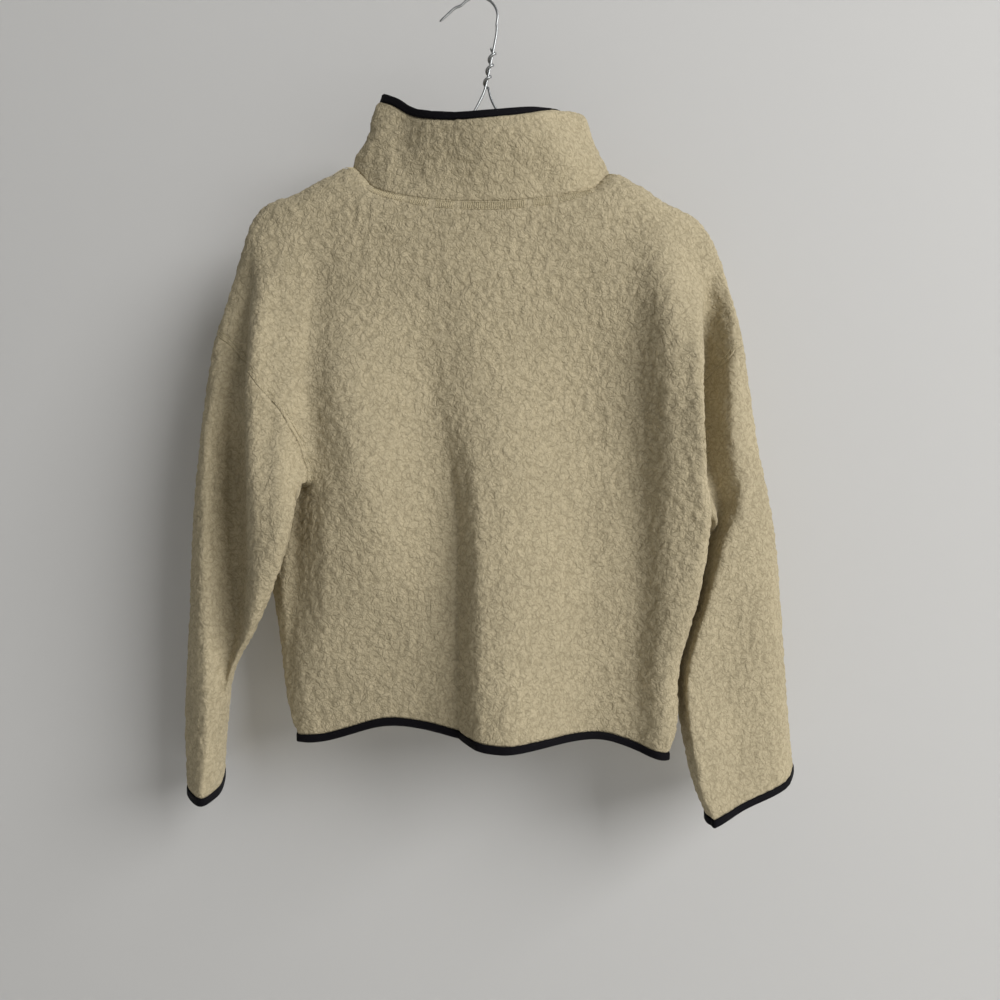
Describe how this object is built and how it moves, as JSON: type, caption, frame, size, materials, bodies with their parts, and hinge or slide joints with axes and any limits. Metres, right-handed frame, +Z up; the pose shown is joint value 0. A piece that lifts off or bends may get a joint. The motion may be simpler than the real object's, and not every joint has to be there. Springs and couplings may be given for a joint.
{
  "type": "sherpa fleece pullover on a wire hanger",
  "caption": "Cropped long-sleeved pullover of curly sherpa fleece with a stand collar and dark bound edges, hanging by its shoulders on a bent wire hanger.",
  "frame": {"origin": "inside of the hanger hook's bend, at its highest point, where the hook bears on the rod or nail that holds it", "axes": "+Z up, +X along the shoulders, +Y from the back of the garment to its front; the back faces -Y"},
  "size_m": [0.6097, 0.1536, 0.7852],
  "materials": {
    "fleece": "curly sherpa pile, matt, warm oatmeal beige",
    "binding": "fine knitted tape, matt, near black",
    "wire": "drawn galvanised wire, dull grey"
  },
  "bodies": {
    "root": {"back_panel": "fleece", "front_panel": "fleece", "sleeve_left": "fleece", "sleeve_right": "fleece", "collar": "fleece", "collar_binding": "binding", "hem_binding": "binding", "cuff_binding_left": "binding", "cuff_binding_right": "binding", "hanger": "wire"}
  },
  "joints": []
}
